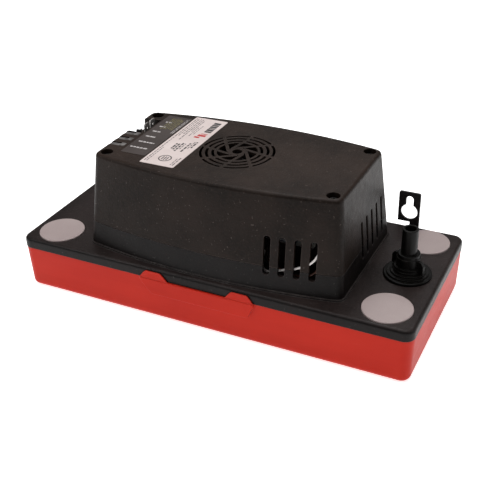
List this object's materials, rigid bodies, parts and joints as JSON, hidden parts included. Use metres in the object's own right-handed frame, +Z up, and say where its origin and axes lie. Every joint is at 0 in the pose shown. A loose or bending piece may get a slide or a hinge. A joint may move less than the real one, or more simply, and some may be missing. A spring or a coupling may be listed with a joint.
{
  "type": "condensate pump",
  "caption": "Low-profile condensate pump: shallow tank, lid with drain inlets and check valve, vented motor cover with fan grille, keyhole hangers.",
  "frame": {"origin": "centre of the tank's underside", "axes": "+X along the length towards the discharge end, +Y towards the wall side with the keyhole hangers, +Z up"},
  "size_m": [0.308, 0.136, 0.1156],
  "materials": {
    "black": "fine moulded texture",
    "red": "satin moulded",
    "grey_cap": "satin moulded",
    "label_white": "printed film",
    "label_dark": "printed film",
    "zinc_steel": "zinc plated",
    "black_steel": "black oxide",
    "tin": "tin plated",
    "phenolic": "moulded",
    "laminations": "stacked sheet",
    "aluminium": "die cast",
    "bronze": "sintered",
    "copper": "enamelled wire",
    "white_nylon": "moulded",
    "shaft_steel": "ground",
    "grey_plastic": "moulded",
    "rubber": "matte"
  },
  "bodies": {
    "tank": {"tank": "red"},
    "head": {"lid": "black", "motor_cover": "black", "cover_screws": "black_steel", "rating_label": "label_white", "wiring_label": "label_dark", "terminal_block": "phenolic", "upright_terminals": "tin", "flat_terminals": "tin", "cord_gland": "black", "hanger_left": "black_steel", "hanger_right": "black_steel", "hanger_rivets": "zinc_steel", "stator_stack": "laminations", "coil_bobbin": "white_nylon", "motor_coil": "copper", "lower_bracket": "aluminium", "upper_bracket": "aluminium", "upper_bush": "bronze", "lower_bush": "bronze", "motor_screws": "zinc_steel", "pump_volute": "grey_plastic", "inlet_plate": "white_nylon", "volute_screws": "zinc_steel", "discharge_hose": "rubber", "hose_clamps": "zinc_steel", "float_pin": "shaft_steel", "switch_bracket": "zinc_steel", "safety_switch": "phenolic", "pump_switch": "phenolic", "switch_screws": "zinc_steel"},
    "rotor": {"motor_shaft": "shaft_steel", "rotor_core": "laminations", "cooling_fan": "white_nylon", "impeller": "white_nylon"},
    "float_assembly": {"float_arm": "white_nylon", "float": "white_nylon"},
    "check_valve": {"check_valve_body": "black", "valve_cage": "white_nylon", "valve_o_ring": "rubber"},
    "ball": {"valve_ball": "white_nylon"},
    "pump_button": {"pump_plunger": "white_nylon"},
    "safety_button": {"safety_plunger": "white_nylon"},
    "front_left_cap": {"inlet_plug_front_left": "grey_cap"},
    "front_right_cap": {"inlet_plug_front_right": "grey_cap"},
    "back_right_cap": {"inlet_plug_back_right": "grey_cap"}
  },
  "joints": [
    {"name": "head_lift", "type": "slide", "parent": "tank", "child": "head", "axis": [0, 0, 1], "range_m": [0, 0.06]},
    {"name": "rotor_spin", "type": "hinge", "parent": "head", "child": "rotor", "pos_m": [0, 0, 0.076], "axis": [0, 0, 1], "continuous": true},
    {"name": "float_rise", "type": "hinge", "parent": "head", "child": "float_assembly", "pos_m": [-0.062, 0, 0.036], "axis": [0, 1, 0], "range_deg": [0, 12]},
    {"name": "pump_switch_press", "type": "slide", "parent": "head", "child": "pump_button", "axis": [1, 0, 0], "range_m": [0, 0.003]},
    {"name": "safety_switch_press", "type": "slide", "parent": "head", "child": "safety_button", "axis": [1, 0, 0], "range_m": [0, 0.003]},
    {"name": "check_valve_turn", "type": "hinge", "parent": "head", "child": "check_valve", "pos_m": [0.13, 0, 0.043], "axis": [0, 0, 1], "range_deg": [0, 90]},
    {"name": "ball_lift", "type": "slide", "parent": "check_valve", "child": "ball", "axis": [0, 0, 1], "range_m": [0, 0.0027]},
    {"name": "front_left_cap_lift", "type": "slide", "parent": "head", "child": "front_left_cap", "axis": [0, 0, 1], "range_m": [0, 0.025]},
    {"name": "front_right_cap_lift", "type": "slide", "parent": "head", "child": "front_right_cap", "axis": [0, 0, 1], "range_m": [0, 0.025]},
    {"name": "back_right_cap_lift", "type": "slide", "parent": "head", "child": "back_right_cap", "axis": [0, 0, 1], "range_m": [0, 0.025]}
  ],
  "couplings": [
    {"joint": "pump_switch_press", "follows": "float_rise", "m_per_rad": 0.014},
    {"joint": "safety_switch_press", "follows": "float_rise", "m_per_rad": 0.014}
  ]
}
